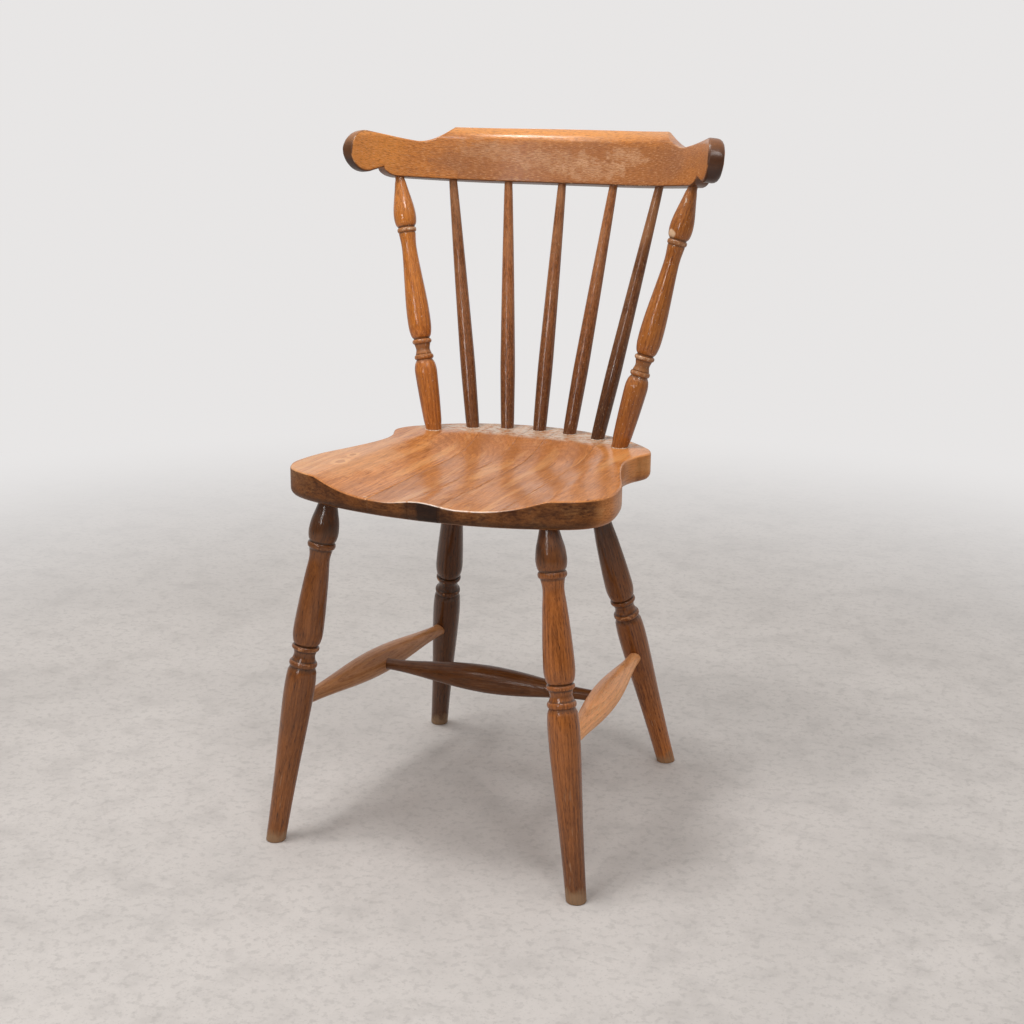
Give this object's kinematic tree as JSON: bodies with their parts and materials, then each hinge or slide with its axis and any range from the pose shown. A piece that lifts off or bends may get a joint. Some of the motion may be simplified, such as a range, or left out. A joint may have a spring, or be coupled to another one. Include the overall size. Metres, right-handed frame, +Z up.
{
  "type": "spindle back chair",
  "caption": "Worn varnished wooden chair with a carved saddle seat, splayed turned legs joined by stretchers, a spindle back and a bent crest rail with scrolled ends.",
  "frame": {"origin": "on the floor, under the middle of the chair's box", "axes": "+Z up, the chair faces -Y, +X to the sitter's left-hand side; the two halves mirror in X"},
  "size_m": [0.5006, 0.4694, 0.8374],
  "materials": {
    "seat_wood": "satin worn varnish",
    "leg_wood": "worn semi-gloss varnish over dark stain",
    "stretcher_wood": "scuffed satin varnish",
    "post_wood": "glossy worn varnish",
    "spindle_wood": "semi-gloss varnish, dusty",
    "rail_wood": "satin varnish worn through in patches"
  },
  "bodies": {
    "root": {"seat_board_1": "seat_wood", "seat_board_2": "seat_wood", "seat_board_3": "seat_wood", "seat_board_4": "seat_wood", "seat_board_5": "seat_wood", "leg_front_left": "leg_wood", "leg_front_right": "leg_wood", "leg_back_left": "leg_wood", "leg_back_right": "leg_wood", "stretcher_left": "stretcher_wood", "stretcher_right": "stretcher_wood", "stretcher_centre": "leg_wood", "post_left": "post_wood", "post_right": "post_wood", "spindle_1": "spindle_wood", "spindle_2": "spindle_wood", "spindle_3": "spindle_wood", "spindle_4": "spindle_wood", "spindle_5": "spindle_wood", "crest_rail": "rail_wood"}
  },
  "joints": []
}
